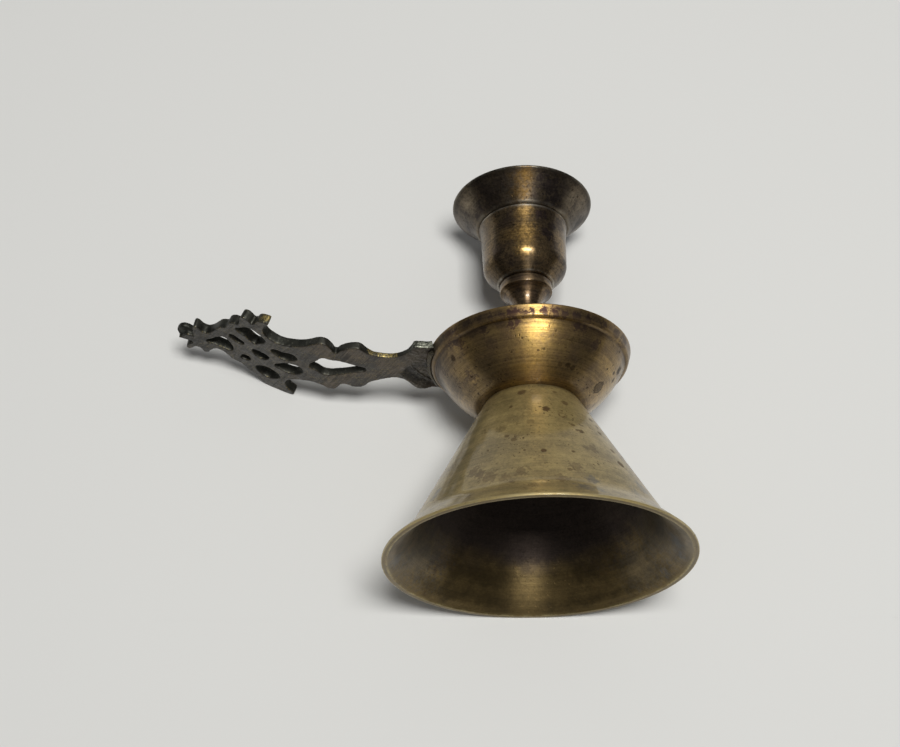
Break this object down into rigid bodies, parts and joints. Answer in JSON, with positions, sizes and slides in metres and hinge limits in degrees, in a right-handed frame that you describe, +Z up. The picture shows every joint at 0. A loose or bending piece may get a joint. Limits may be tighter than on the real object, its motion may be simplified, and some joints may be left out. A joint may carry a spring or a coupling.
{
  "type": "hand candlestick",
  "caption": "Turned brass hand candlestick with a bell foot, a dished drip pan, a baluster stem, a candle cup with a lift-out flared nozzle, and a flat pierced handle.",
  "frame": {"origin": "on the turning axis, in the plane that the foot's rim stands on", "axes": "+Z up along the turning axis, the handle reaches out along -X"},
  "size_m": [0.1506, 0.0868, 0.1204],
  "materials": {
    "foot_brass": "turned brass, olive patina with dark spots",
    "pan_brass": "turned brass, golden with brown and purple patina",
    "stem_brass": "turned brass, brown patina",
    "cup_brass": "turned brass, dark brown patina with worn edges",
    "nozzle_brass": "spun brass, darkest patina",
    "handle_brass": "filed cast brass, grey-brown patina, bright where worn",
    "hard_solder": "rough brazing alloy",
    "steel": "old dull steel"
  },
  "bodies": {
    "candlestick": {"foot": "foot_brass", "drip_pan": "pan_brass", "stem": "stem_brass", "candle_cup": "cup_brass", "handle": "handle_brass", "handle_braze": "hard_solder", "tie_stud": "steel", "stud_washer": "steel", "stud_nut": "steel", "cup_stud": "steel"},
    "nozzle": {"nozzle": "nozzle_brass"}
  },
  "joints": [
    {"name": "nozzle_lift", "type": "slide", "parent": "candlestick", "child": "nozzle", "axis": [0, 0, 1], "range_m": [0, 0.03]}
  ]
}
